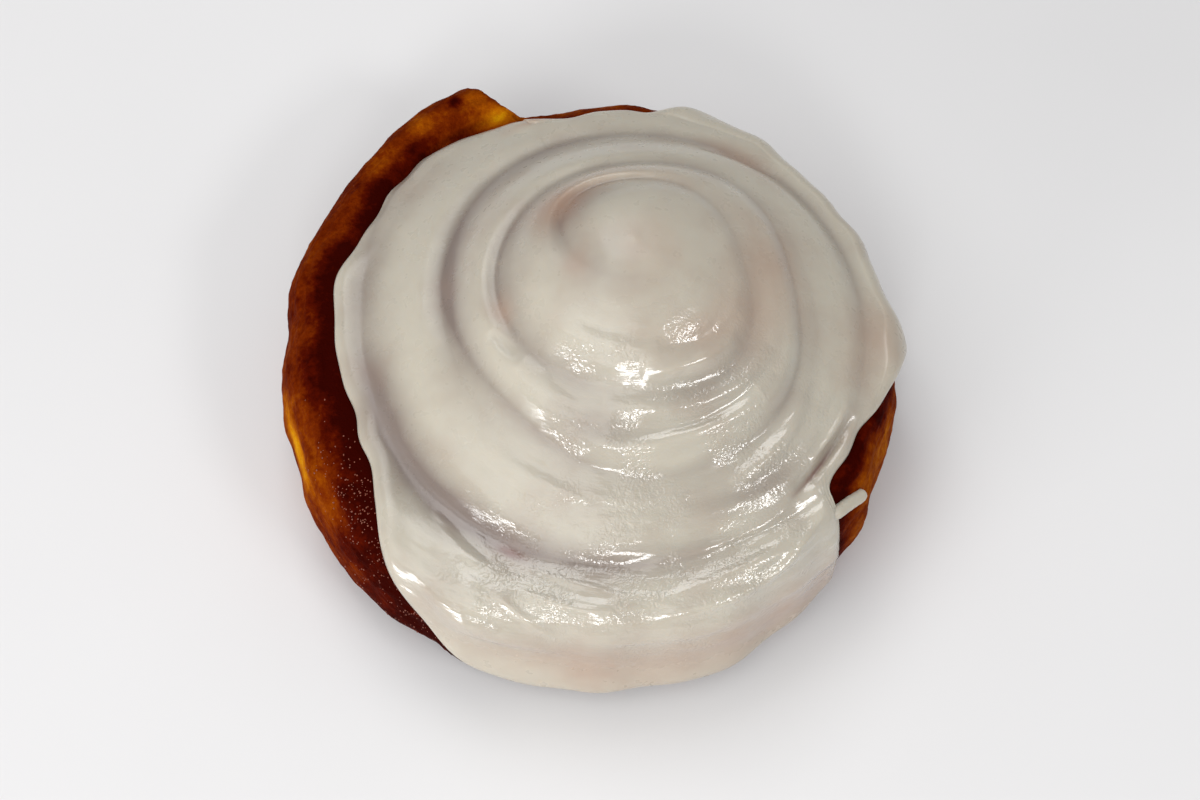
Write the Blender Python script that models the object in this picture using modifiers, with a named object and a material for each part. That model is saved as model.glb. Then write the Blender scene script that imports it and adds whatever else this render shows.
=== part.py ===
"""An iced cinnamon bun: one coil of baked dough, and the icing poured over it.

Sizes are in millimetres and degrees, and become metres where a mesh is made.
The dough is a strip wound inwards from a free end at the left of the back.
Its outer face is one spiral, which each further turn meets as a groove.
"""
import bmesh
import bpy
import numpy as np
from mathutils import Vector

MM = 0.001
QUARTER_TURN = np.radians(90.0)
# Least length that a length is divided by
SMALL = 0.001

# The strip's free end, and how many degrees its blunt end takes to round off
END_AZIMUTH = 116.0
END_ROUNDING = 9.0

# Radius of the spiral face from the coil's upright axis, every 45 degrees,
# a turn to a row: back, back left, left, front left, front, front right, right, back right
STATION_STEP = 45.0
FACE_RADII = (
    (66.0, 66.3, 65.2, 66.2, 62.2, 54.4, 47.8, 44.8),
    (48.3, 53.0, 49.0, 50.0, 50.0, 45.5, 40.5, 36.5),
    (34.0, 37.0, 34.5, 32.0, 36.0, 34.5, 27.5, 26.0),
    (21.5, 22.0, 23.5, 23.5, 24.0, 24.5, 18.5, 14.5),
    (12.0, 15.5, 10.5, 8.0, 7.0, 7.5, 8.0, 6.5),
    (4.0, 0.0, -5.0, -8.0, -9.0, -9.0, -9.0, -9.0),
)
# Share of the full depth that the groove along that face has
GROOVE_SHARES = (
    (0.0, 0.0, 0.0, 0.0, 0.0, 0.0, 0.0, 0.2),
    (1.0, 1.0, 0.6, 0.9, 0.8, 0.5, 0.8, 0.7),
    (0.6, 0.8, 1.0, 0.6, 0.4, 0.5, 0.5, 0.4),
    (0.5, 0.7, 1.0, 0.8, 0.4, 0.7, 0.4, 0.35),
    (0.4, 0.9, 0.7, 0.6, 0.4, 0.2, 0.1, 0.0),
    (0.0, 0.0, 0.0, 0.0, 0.0, 0.0, 0.0, 0.0),
)
# Full depth of the dough's grooves, how square the strip's top is between them, and a
# power that, the higher it is, makes the rounding at a groove's bottom narrower
DOUGH_GROOVE = 5.5
DOUGH_ROUNDNESS = 2.4
CREASE_POWER = 9.0

# The mound that the tops of the turns follow: height every 8 mm from the axis
MOUND_STEP = 8.0
MOUND_HEIGHTS = (52.5, 51.5, 48.0, 43.0, 37.5, 32.5, 28.5, 26.5, 25.5, 25.0)

# The outer face: how far in its rounding starts, as a share of the strip's thickness, how
# square the rounding is, its widest level, the usual level of its shoulder, how far the
# foot tucks in below, and the height under which the foot lies flat on the floor
ROUNDING_SHARE = 0.55
ROUNDING_POWER = 2.3
WIDEST_LEVEL = 10.0
SHOULDER_LEVEL = 26.0
FOOT_TUCK = 3.0
FOOT_FLAT = 0.25

# Uneven baking of the outer face: waves round it, and how far each one swells it
CRUST_WAVES = ((5, 40.0, 0.45), (11, 95.0, 0.35), (19, 10.0, 0.25), (31, 70.0, 0.15))

# Narrow folds in the top: azimuth and radius at both ends, depth, and half width
FOLDS = (
    ((282.0, 18.0), (330.0, 20.5), 0.7, 1.6),
    ((262.0, 29.0), (314.0, 30.0), 0.8, 1.9),
    ((284.0, 47.5), (316.0, 50.5), 0.5, 1.5),
    ((286.0, 56.0), (312.0, 52.5), 0.5, 1.6),
    ((205.0, 27.0), (222.0, 26.0), 0.6, 1.4),
)

# The icing: its thickness, the shallower and rounder grooves that it leaves, and how far
# in from its edge its lip rounds up, with a slight bead
ICING_ON_CRESTS = 1.3
ICING_GROOVE = 2.9
ICING_ROUNDNESS = 1.9
ICING_LIP = 2.6
ICING_BEAD = 0.5
# Where its own grooves take over from the dough's: how far outside the edge, and over what
SETTLE_FROM = 1.0
SETTLE_OVER = 5.0
# Past its edge it sinks into the dough, this steeply and this deep
SINK_SLOPE = 2.0
SINK = 1.5
# Share of a half section over which its slope is measured, and the gap behind it
SLOPE_STEP = 0.01
SKIN_GAP = 0.3

# The band of bare crust below the icing's edge: its climb up the face from the floor,
# every 15 degrees round from the strip's end
BARE_STEP = 15.0
BARE_BAND = (
    34.5, 38.8, 37.5, 38.2, 36.4, 37.3, 37.4, 33.0, 16.5, 5.0, 4.0, 4.0,
    4.5, 5.0, 5.5, 7.0, 8.0, 10.0, 13.0, 11.0, 13.0, 21.0, 31.0, 34.0, 34.5,
)
# The bare patch at the right: where round from the strip's end it starts and ends, its
# climb at both, in how many degrees each end falls, and how sharply it joins the band
PATCH_FROM = 195.0
PATCH_TO = 243.0
PATCH_CLIMBS = (33.0, 24.0)
PATCH_ENDS = (1.5, 7.0)
JOIN_POWER = 5.0
# How far to each side the nearest point of the edge is looked for, and in how many steps
EDGE_REACH = 6.0
EDGE_SAMPLES = 25

# The drip of icing that crosses the bare patch: azimuth and climb at both ends, and radius
DRIP_FROM = (312.0, 27.0)
DRIP_TO = (320.0, 23.0)
DRIP_RADIUS = 1.1
DRIP_SEGMENTS = 14
DRIP_RINGS = 12
# Part of a half section that holds both ends of the drip, and in how many steps
DRIP_PLACES = (0.3, 0.9)
DRIP_STEPS = 400

# How much of a half section is the top, then the side above and below its widest
TOP_SHARE = 0.60
SIDE_SHARE = 0.20
FOOT_SHARE = 0.08

# The sphere that is shaped, the even mesh made of it, and what is kept of that
SEGMENTS = 300
RINGS = 160
EVEN_MESH = 0.9
DOUGH_TRIANGLES = 5000
ICING_TRIANGLES = 6200

CRUST_COLOUR = (0.27, 0.10, 0.025)
CRUST_ROUGHNESS = 0.6
ICING_COLOUR = (0.72, 0.69, 0.63)
ICING_ROUGHNESS = 0.3


def spline(stations, place):
    """Smooth curve through evenly spaced stations, at fractional places along them."""
    knots = np.asarray(stations, float).ravel()
    last = len(knots) - 1
    place = np.clip(place, 0.0, last)
    low = np.minimum(place.astype(int), last - 1)
    t = place - low
    before, start = knots[np.maximum(low - 1, 0)], knots[low]
    end, after = knots[low + 1], knots[np.minimum(low + 2, last)]
    bend = 2 * before - 5 * start + 4 * end - after + t * (3 * (start - end) + after - before)
    return start + 0.5 * t * (end - before + t * bend)


def unrolled(azimuth):
    """The azimuth counted on from the strip's free end, from 0 to 360."""
    return np.mod(azimuth - END_AZIMUTH, 360.0)


def station(turned, turn):
    """Place in the tables of the spiral face, whose first column is the back."""
    return (turned + END_AZIMUTH - 90.0 + 360.0 * turn) / STATION_STEP


def face_radius(turned, turn):
    """Radius of the spiral face that lies this many whole turns in."""
    return spline(FACE_RADII, station(turned, turn))


def groove_share(turned, turn):
    """Share of the full groove depth along that face."""
    return np.clip(spline(GROOVE_SHARES, station(turned, turn)), 0.0, None)


def relief(turned, radius, roundness):
    """How far the surface drops below the mound, as a share of the full groove depth."""
    drop = np.zeros_like(radius)
    for turn in range(len(FACE_RADII) - 1):
        outer = face_radius(turned, turn)
        inner = face_radius(turned, turn + 1)
        across = (outer - radius) / np.maximum(outer - inner, SMALL)
        off_centre = np.abs(2.0 * across - 1.0)
        off_crest = off_centre**roundness - roundness / CREASE_POWER * off_centre**CREASE_POWER
        near_outer = groove_share(turned, turn) if turn else 0.0
        near_inner = groove_share(turned, turn + 1)
        share = np.where(across < 0.5, near_outer, near_inner)
        drop = np.where((across >= 0.0) & (across < 1.0), off_crest * share, drop)
    return drop


def folds(azimuth, radius):
    """How far the narrow folds drop the surface."""
    drop = np.zeros_like(radius)
    for (start, start_radius), (end, end_radius), depth, half_width in FOLDS:
        along = (np.mod(azimuth, 360.0) - start) / (end - start)
        middle = start_radius + (end_radius - start_radius) * along
        fade = np.sin(np.pi * np.clip(along, 0.0, 1.0))
        drop += depth * fade * np.exp(-(((radius - middle) / half_width) ** 2))
    return drop


def outline(azimuth):
    """Radius at the widest level, and how far in from it the rounding starts.

    The strip's blunt end rounds down onto the turn behind it.
    """
    turned = unrolled(azimuth)
    wave = 0.0
    for count, phase, size in CRUST_WAVES:
        wave += size * np.cos(np.radians(count * azimuth + phase))
    strip, behind, further_in = [face_radius(turned, turn) for turn in range(3)]
    into_end = np.clip(turned / END_ROUNDING, 0.0, 1.0)
    share = np.sqrt(1.0 - (1.0 - into_end) ** 2)
    widest = behind + (strip - behind) * share
    thickness = (behind - further_in) + (strip - 2.0 * behind + further_in) * share
    return widest + wave, ROUNDING_SHARE * thickness


def section(azimuth, place, groove, roundness):
    """A half section from its apex at 0 to the base's middle at 1: its radius, its height, and
    how far up the face from the floor each point lies, on over the shoulder.
    """
    turned = unrolled(azimuth)
    widest, rounding = outline(azimuth)
    shoulder = widest - rounding
    on_top = np.clip(place / TOP_SHARE, 0.0, 1.0)
    radius = on_top * shoulder
    height = spline(MOUND_HEIGHTS, radius / MOUND_STEP) - folds(azimuth, radius)
    height -= groove * relief(turned, radius, roundness)

    side_end = TOP_SHARE + SIDE_SHARE
    foot_end = side_end + FOOT_SHARE
    down = QUARTER_TURN * np.clip((place - TOP_SHARE) / SIDE_SHARE, 0.0, 1.0)
    under = QUARTER_TURN * np.clip((place - side_end) / FOOT_SHARE, 0.0, 1.0)
    inwards = np.clip((place - foot_end) / (1.0 - foot_end), 0.0, 1.0)
    outwards = np.sin(down) ** (2.0 / ROUNDING_POWER)
    upwards = np.cos(down) ** (2.0 / ROUNDING_POWER)

    side_radius = shoulder + rounding * outwards
    side_height = WIDEST_LEVEL + (height - WIDEST_LEVEL) * upwards
    foot_radius = widest - FOOT_TUCK * (1.0 - np.cos(under))
    foot_height = WIDEST_LEVEL * (1.0 - np.sin(under))
    flat_radius = (widest - FOOT_TUCK) * (1.0 - inwards)
    top_climb = SHOULDER_LEVEL + widest - radius
    side_climb = WIDEST_LEVEL + (SHOULDER_LEVEL - WIDEST_LEVEL) * upwards + widest - side_radius
    zones = [place <= TOP_SHARE, place <= side_end, place <= foot_end]
    return (
        np.select(zones, [radius, side_radius, foot_radius], flat_radius),
        np.select(zones, [height, side_height, foot_height], 0.0),
        np.select(zones, [top_climb, side_climb, foot_height], 0.0),
    )


def dough_section(azimuth, place):
    """Radius, height and climb of the baked dough."""
    return section(azimuth, place, DOUGH_GROOVE, DOUGH_ROUNDNESS)


def dough_point(azimuth, place):
    """Radius and height of the baked dough."""
    return dough_section(azimuth, place)[:2]


def bare_band(azimuth):
    """Climb of the icing's edge."""
    turned = unrolled(azimuth)
    length = PATCH_TO - PATCH_FROM
    along = np.clip((turned - PATCH_FROM) / length, 0.0, 1.0)
    opens = 1.0 - np.exp(-along * length / PATCH_ENDS[0])
    closes = 1.0 - np.exp(-(1.0 - along) * length / PATCH_ENDS[1])
    patch = (PATCH_CLIMBS[0] + (PATCH_CLIMBS[1] - PATCH_CLIMBS[0]) * along) * opens * closes
    band = spline(BARE_BAND, turned / BARE_STEP)
    return (band**JOIN_POWER + patch**JOIN_POWER) ** (1.0 / JOIN_POWER)


def above_edge(azimuth, radius, climb):
    """Distance of a point of the face above the icing's edge, below it negative.

    It is the least of the distances to the edge at a few offsets round the coil.
    """
    here = climb - bare_band(azimuth)
    nearest = np.abs(here)
    for offset in np.linspace(-EDGE_REACH, EDGE_REACH, EDGE_SAMPLES):
        beside = azimuth + np.degrees(offset / np.maximum(radius, EDGE_REACH))
        gap = climb - bare_band(beside)
        across = np.where(here * gap > 0.0, np.abs(gap), 0.0)
        nearest = np.minimum(nearest, np.hypot(offset, across))
    return np.where(here < 0.0, -nearest, nearest)


def icing_point(azimuth, place):
    """Radius and height of the icing's outer face, which sinks into the dough past its edge."""
    dough_radius, dough_height, climb = dough_section(azimuth, place)
    soft_radius, soft_height, _ = section(azimuth, place, ICING_GROOVE, ICING_ROUNDNESS)
    within = above_edge(azimuth, dough_radius, climb)
    settled = np.clip((within + SETTLE_FROM) / SETTLE_OVER, 0.0, 1.0)
    settled = settled * settled * (3.0 - 2.0 * settled)
    radius = dough_radius + (soft_radius - dough_radius) * settled
    height = dough_height + (soft_height - dough_height) * settled

    # The slope of the section without its grooves, so that the thickness can't cross itself
    ahead = section(azimuth, np.minimum(place + SLOPE_STEP, 1.0), 0.0, 1.0)
    astern = section(azimuth, np.maximum(place - SLOPE_STEP, 0.0), 0.0, 1.0)
    along, down = ahead[0] - astern[0], ahead[1] - astern[1]
    length = np.maximum(np.hypot(along, down), SMALL)

    lip = np.clip(within / ICING_LIP, 0.0, 1.0)
    bead = ICING_BEAD * np.exp(-(((within - ICING_LIP) / ICING_LIP) ** 2))
    thickness = (ICING_ON_CRESTS + bead) * np.sqrt(1.0 - (1.0 - lip) ** 2)
    thickness = np.where(within < 0.0, np.maximum(SINK_SLOPE * within, -SINK), thickness)
    level = height + along / length * thickness
    return radius - down / length * thickness, np.maximum(level, SINK)


def wrap_sphere(name, collection, point):
    """A sphere whose vertices move to the half sections that point gives."""
    mesh = bpy.data.meshes.new(name)
    shell = bmesh.new()
    bmesh.ops.create_uvsphere(shell, u_segments=SEGMENTS, v_segments=RINGS, radius=1.0)
    unit = np.array([vertex.co[:] for vertex in shell.verts])
    azimuth = np.degrees(np.arctan2(unit[:, 1], unit[:, 0]))
    place = np.arccos(np.clip(unit[:, 2], -1.0, 1.0)) / np.pi
    radius, height = point(azimuth, place)
    turn = np.radians(azimuth)
    for vertex, r, a, z in zip(shell.verts, radius, turn, height):
        vertex.co = Vector((r * np.cos(a), r * np.sin(a), z)) * MM
    bmesh.ops.recalc_face_normals(shell, faces=shell.faces)
    shell.to_mesh(mesh)
    shell.free()
    solid = bpy.data.objects.new(name, mesh)
    collection.objects.link(solid)
    return solid


def apply_modifiers(solid):
    """Keep the evaluated shape as the object's own mesh."""
    graph = bpy.context.evaluated_depsgraph_get()
    shaped = bpy.data.meshes.new_from_object(solid.evaluated_get(graph))
    solid.modifiers.clear()
    solid.data = shaped


def thin_out(solid, triangles):
    """Give the solid an even mesh, then decimate that to about this many triangles."""
    even = solid.modifiers.new("even mesh", "REMESH")
    even.mode = "VOXEL"
    even.voxel_size = EVEN_MESH * MM
    apply_modifiers(solid)
    present = sum(len(face.vertices) - 2 for face in solid.data.polygons)
    decimate = solid.modifiers.new("thin out", "DECIMATE")
    decimate.ratio = triangles / present
    apply_modifiers(solid)


def flatten_base(solid):
    """Set the vertices that rest on the floor exactly on it."""
    for vertex in solid.data.vertices:
        if vertex.co.z < FOOT_FLAT * MM:
            vertex.co.z = 0.0


def boolean(solid, other, operation, name):
    """Add an exact Boolean modifier of the other solid."""
    cut = solid.modifiers.new(name, "BOOLEAN")
    cut.operation = operation
    cut.solver = "EXACT"
    cut.object = other


def surface_point(azimuth, wanted_climb):
    """The point of the dough's face at this azimuth and climb."""
    places = np.linspace(*DRIP_PLACES, DRIP_STEPS)
    radius, height, climb = dough_section(np.full_like(places, azimuth), places)
    nearest = int(np.argmin(np.abs(climb - wanted_climb)))
    turn = np.radians(azimuth)
    outwards = Vector((np.cos(turn), np.sin(turn), 0.0))
    return outwards * radius[nearest] + Vector((0.0, 0.0, height[nearest]))


def make_drip(collection):
    """The drip: a sphere drawn out between its two ends."""
    start = surface_point(*DRIP_FROM)
    end = surface_point(*DRIP_TO)
    reach = end - start
    mesh = bpy.data.meshes.new("drip")
    shell = bmesh.new()
    bmesh.ops.create_uvsphere(
        shell, u_segments=DRIP_SEGMENTS, v_segments=DRIP_RINGS, radius=DRIP_RADIUS
    )
    for vertex in shell.verts:
        if vertex.co.z > 0.0:
            vertex.co.z += reach.length
    turn = reach.to_track_quat("Z", "Y").to_matrix()
    for vertex in shell.verts:
        vertex.co = (start + turn @ vertex.co) * MM
    shell.to_mesh(mesh)
    shell.free()
    drip = bpy.data.objects.new("drip", mesh)
    collection.objects.link(drip)
    return drip


def make_dough(collection):
    """The baked coil, which rests on its flat base."""
    dough = wrap_sphere("bun", collection, dough_point)
    thin_out(dough, DOUGH_TRIANGLES)
    flatten_base(dough)
    return dough


def make_icing(collection, helpers, dough):
    """The icing: its outer face, less the dough and the gap that keeps the two apart."""
    icing = wrap_sphere("icing", collection, icing_point)
    thin_out(icing, ICING_TRIANGLES)
    grown = bpy.data.objects.new("grown_dough", dough.data.copy())
    helpers.objects.link(grown)
    swell = grown.modifiers.new("gap", "DISPLACE")
    swell.strength = SKIN_GAP * MM
    swell.mid_level = 0.0
    apply_modifiers(grown)
    boolean(icing, make_drip(helpers), "UNION", "drip")
    boolean(icing, grown, "DIFFERENCE", "dough")
    apply_modifiers(icing)
    return icing


def centre(solids):
    """Move every mesh so that the object's box stands centred on the origin."""
    corners = np.array([vertex.co[:] for solid in solids for vertex in solid.data.vertices])
    low, high = corners.min(axis=0), corners.max(axis=0)
    shift = Vector((-(low[0] + high[0]) / 2.0, -(low[1] + high[1]) / 2.0, -low[2]))
    for solid in solids:
        for vertex in solid.data.vertices:
            vertex.co += shift


def finish(solid, name, colour, roughness):
    """Shade the solid smooth, and give it its own plain material."""
    for face in solid.data.polygons:
        face.use_smooth = True
    material = bpy.data.materials.new(name)
    material.use_nodes = True
    shader = material.node_tree.nodes["Principled BSDF"]
    shader.inputs["Base Color"].default_value = (*colour, 1.0)
    shader.inputs["Roughness"].default_value = roughness
    solid.data.materials.clear()
    solid.data.materials.append(material)


def new_collection(name):
    """A collection in the scene."""
    collection = bpy.data.collections.new(name)
    bpy.context.scene.collection.children.link(collection)
    return collection


def main():
    for old in list(bpy.data.objects):
        bpy.data.objects.remove(old, do_unlink=True)
    parts = new_collection("cinnamon_bun")
    helpers = new_collection("cutters")
    dough = make_dough(parts)
    icing = make_icing(parts, helpers, dough)
    for helper in helpers.objects:
        helper.hide_render = True
        helper.display_type = "WIRE"
    centre((dough, icing))
    finish(dough, "baked_crust", CRUST_COLOUR, CRUST_ROUGHNESS)
    finish(icing, "sugar_icing", ICING_COLOUR, ICING_ROUGHNESS)


main()
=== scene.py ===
"""Dresses an iced cinnamon bun: one coil of baked dough, and the sugar icing poured over it.

Sizes are in millimetres and degrees, measured from the coil's upright axis, and become
metres where a mesh is made. Each piece repeats the form of the solid that it replaces,
finely enough to carry the crust's relief and the icing's skin.
"""

import logging
import math
from collections.abc import Callable
from dataclasses import dataclass
from enum import Enum
from functools import partial

import bpy
import numpy as np
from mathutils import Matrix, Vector


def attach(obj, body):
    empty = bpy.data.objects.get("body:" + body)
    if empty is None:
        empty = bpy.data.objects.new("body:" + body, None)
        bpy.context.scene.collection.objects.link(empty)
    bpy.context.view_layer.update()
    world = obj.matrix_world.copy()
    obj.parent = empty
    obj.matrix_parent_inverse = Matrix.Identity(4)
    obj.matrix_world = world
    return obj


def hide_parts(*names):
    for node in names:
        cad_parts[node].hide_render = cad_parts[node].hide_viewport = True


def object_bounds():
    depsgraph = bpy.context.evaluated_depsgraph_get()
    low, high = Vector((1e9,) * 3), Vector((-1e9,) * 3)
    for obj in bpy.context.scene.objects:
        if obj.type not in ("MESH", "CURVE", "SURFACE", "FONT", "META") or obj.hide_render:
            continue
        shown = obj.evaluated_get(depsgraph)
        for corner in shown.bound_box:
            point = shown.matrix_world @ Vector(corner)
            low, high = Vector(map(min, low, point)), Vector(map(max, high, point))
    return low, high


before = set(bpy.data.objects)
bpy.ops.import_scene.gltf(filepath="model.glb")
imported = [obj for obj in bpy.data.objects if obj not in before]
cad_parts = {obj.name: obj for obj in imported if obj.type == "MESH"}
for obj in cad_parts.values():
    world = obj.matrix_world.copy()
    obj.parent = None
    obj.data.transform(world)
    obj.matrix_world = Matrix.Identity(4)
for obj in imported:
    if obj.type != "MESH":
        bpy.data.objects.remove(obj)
CAD_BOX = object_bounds()

Numbers = np.ndarray
Piece = bpy.types.Object
Finish = bpy.types.Material
Node = bpy.types.Node
Socket = bpy.types.NodeSocket
Sockets = bpy.types.bpy_prop_collection

LOG = logging.getLogger("cinnamon_bun")
MM = 0.001
# Keeps a length that is divided by off nothing
SMALL = 0.001
FULL_TURN = 360.0
QUARTER_TURN = math.pi / 2.0
# The azimuth that the tables round the coil start from
BACK = 90.0
# How roundly a stroke on the skin fades out at its ends
STROKE_FADE = 0.7
# Where noise has its middle
HALF = 0.5

# Kinds of node that are used often, and of a geometry tree's named inputs
MATH = "ShaderNodeMath"
MAP_RANGE = "ShaderNodeMapRange"
MIX = "ShaderNodeMix"
NOISE = "ShaderNodeTexNoise"
MESH_VALUE = "ShaderNodeAttribute"
NAMED_VALUE = "GeometryNodeInputNamedAttribute"
INPUT_KINDS = {
    float: "NodeSocketFloat",
    int: "NodeSocketInt",
    Piece: "NodeSocketObject",
    Finish: "NodeSocketMaterial",
}


class ShellFace(Enum):
    """The two faces of the icing, and how far each one stands off the dough at its edge."""

    OUTER = 0.0
    INNER = -0.5


def spline(stations: tuple, place: Numbers) -> Numbers:
    """Smooth curve through evenly spaced stations.

    Args:
        stations: the values that the curve passes through, rows of them joined end to end.
        place: fractional places along the stations, from 0.

    Returns:
        The curve's value at each place.
    """
    knots = np.asarray(stations, float).ravel()
    last = len(knots) - 1
    place = np.clip(place, 0.0, last)
    low = np.minimum(place.astype(int), last - 1)
    past = place - low
    before, start = knots[np.maximum(low - 1, 0)], knots[low]
    end, after = knots[low + 1], knots[np.minimum(low + 2, last)]
    bend = 2 * before - 5 * start + 4 * end - after + past * (3 * (start - end) + after - before)
    return start + 0.5 * past * (end - before + past * bend)


def round_the_coil(stations: tuple, azimuth: Numbers) -> Numbers:
    """Smooth closed curve through stations that are spread evenly round the coil from its back."""
    place = np.mod(azimuth - BACK, FULL_TURN) / FULL_TURN * len(stations)
    return spline((stations[-1], *stations, *stations[:2]), place + 1.0)


def smooth_step(low: float, high: float, value: Numbers) -> Numbers:
    """Smooth rise from 0 where the value is low to 1 where it is high."""
    share = np.clip((value - low) / (high - low), 0.0, 1.0)
    return share * share * (3.0 - 2.0 * share)


def angle_between(azimuth: Numbers, other: float) -> Numbers:
    """Signed degrees from the other azimuth to this one, at most half a turn."""
    half_turn = FULL_TURN / 2.0
    return np.mod(azimuth - other + half_turn, FULL_TURN) - half_turn


def waves(azimuth: Numbers, table: tuple) -> Numbers:
    """Sum of waves round the coil, given the count, phase in degrees and size of each."""
    return sum(size * np.cos(np.radians(count * azimuth + phase)) for count, phase, size in table)


def bumps(azimuth: Numbers, table: tuple) -> Numbers:
    """Sum of soft bumps round the coil, given the azimuth, half width and size of each."""
    return sum(size * np.exp(-((angle_between(azimuth, at) / half) ** 2)) for at, half, size in table)


def points_at(azimuth: Numbers, radius: Numbers, height: Numbers | float = 0.0) -> Numbers:
    """Rows of x, y and z at these azimuths, radii and heights."""
    turn = np.radians(azimuth)
    return np.column_stack(np.broadcast_arrays(radius * np.cos(turn), radius * np.sin(turn), height))


def strokes(azimuth: Numbers, reach: Numbers, table: tuple) -> Numbers:
    """Sum of narrow strokes along the face, each fading out at both of its ends.

    Args:
        azimuth: degrees.
        reach: of each point, out over the top and on down the side.
        table: for each stroke the azimuth and reach of both ends, its height and half width.

    Returns:
        The sum at each point.
    """
    total = np.zeros_like(reach)
    for (start, start_reach), (end, end_reach), height, half_width in table:
        along = (np.mod(azimuth, FULL_TURN) - start) / (end - start)
        middle = start_reach + (end_reach - start_reach) * along
        fade = np.sin(np.pi * np.clip(along, 0.0, 1.0)) ** STROKE_FADE
        total += height * fade * np.exp(-(((reach - middle) / half_width) ** 2))
    return total


def linear_colour(code: str) -> tuple[float, float, float, float]:
    """Turn an sRGB hex code such as #AABBCC into linear red, green, blue and alpha."""
    parts = [int(code[start : start + 2], 16) / 255.0 for start in (1, 3, 5)]
    linear = [part / 12.92 if part <= 0.04045 else ((part + 0.055) / 1.055) ** 2.4 for part in parts]
    return (*linear, 1.0)


def feed(node: Node, inputs: dict | tuple) -> None:
    """Set or link a node's inputs.

    Args:
        node: the node.
        inputs: in order, or by name or place, each input's value, or the output or the node
            whose first output feeds it.
    """
    pairs = inputs.items() if isinstance(inputs, dict) else enumerate(inputs)
    for key, value in pairs:
        source = value.outputs[0] if isinstance(value, Node) else value
        if isinstance(source, Socket):
            node.id_data.links.new(source, node.inputs[key])
        else:
            node.inputs[key].default_value = source


def add_node(tree: bpy.types.NodeTree, kind: str, inputs: dict | tuple = (), **settings) -> Node:
    """Add one node to a tree, with its settings and links.

    Args:
        tree: the shader or geometry tree.
        kind: the node's type name.
        inputs: what its inputs are fed.
        **settings: the node's own properties.

    Returns:
        The node.
    """
    node = tree.nodes.new(kind)
    for name, value in settings.items():
        setattr(node, name, value)
    feed(node, inputs)
    return node


def shape_with(piece: Piece, name: str, values: dict, draw: Callable) -> None:
    """Run a geometry tree on a piece, and keep the result as the piece's plain mesh.

    The tree ends in real faces, shaded smooth, with their material.

    Args:
        piece: the object whose mesh the tree works on.
        name: the tree's name.
        values: the value of each of its named inputs, Material among them.
        draw: adds the tree's own nodes. It is given what adds a node and the named inputs,
            and returns the node that makes the shape.
    """
    tree = bpy.data.node_groups.new(name, "GeometryNodeTree")
    kinds = {label: INPUT_KINDS[type(value)] for label, value in values.items()}
    for label, kind in {"Geometry": "NodeSocketGeometry", **kinds}.items():
        tree.interface.new_socket(label, in_out="INPUT", socket_type=kind)
    tree.interface.new_socket("Geometry", in_out="OUTPUT", socket_type="NodeSocketGeometry")
    add = partial(add_node, tree)
    given = add("NodeGroupInput").outputs
    smooth = add("GeometryNodeSetShadeSmooth", (draw(add, given),))
    real = add("GeometryNodeRealizeInstances", (smooth,))
    dressed = add("GeometryNodeSetMaterial", {"Geometry": real, "Material": given["Material"]})
    add("NodeGroupOutput", (dressed,))

    modifier = piece.modifiers.new(name, "NODES")
    modifier.node_group = tree
    for item in tree.interface.items_tree:
        if item.in_out == "INPUT" and item.name in values:
            modifier[item.identifier] = values[item.name]
    graph = bpy.context.evaluated_depsgraph_get()
    shaped = bpy.data.meshes.new_from_object(piece.evaluated_get(graph))
    piece.modifiers.remove(modifier)
    piece.data = shaped


def new_object(name: str, data: bpy.types.ID) -> Piece:
    """Put a mesh, a light or a camera into the scene."""
    made = bpy.data.objects.new(name, data)
    bpy.context.scene.collection.objects.link(made)
    return made


def new_piece(name: str, points: Numbers, faces: list, values: dict[str, Numbers]) -> Piece:
    """Make an object from points, faces or edges, and values at its points.

    Args:
        name: the object's name.
        points: rows of x, y and z in millimetres.
        faces: vertex numbers of each face, or of each edge where they are pairs.
        values: named numbers or vectors, one for each point.

    Returns:
        The object, in the scene.
    """
    mesh = bpy.data.meshes.new(name)
    only_edges = len(faces[0]) == 2
    parts = (faces, []) if only_edges else ([], faces)
    mesh.from_pydata((points * MM).tolist(), *parts)
    for label, numbers in values.items():
        kind, field = ("FLOAT_VECTOR", "vector") if numbers.ndim == 2 else ("FLOAT", "value")
        layer = mesh.attributes.new(label, kind, "POINT")
        layer.data.foreach_set(field, np.ascontiguousarray(numbers, np.float32).ravel())
    mesh.update()
    return new_object(name, mesh)


def ring_faces(rings: int, columns: int) -> list:
    """Faces of a closed shell of rings with a point at each end.

    Args:
        rings: how many rings lie between the two end points.
        columns: how many points each ring has.

    Returns:
        Vertex numbers of each face: the first point is 0, and the last follows the rings.
    """
    around = np.arange(columns)
    beside = (around + 1) % columns
    top = np.stack([np.zeros(columns, int), 1 + around, 1 + beside], 1)
    start = 1 + columns * np.arange(rings - 1)[:, None]
    corners = (start + around, start + columns + around, start + columns + beside, start + beside)
    middle = np.stack([corner.ravel() for corner in corners], 1)
    last_ring = 1 + columns * (rings - 1)
    end = np.full(columns, last_ring + columns)
    bottom = np.stack([last_ring + around, end, last_ring + beside], 1)
    return top.tolist() + middle.tolist() + bottom.tolist()


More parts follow.
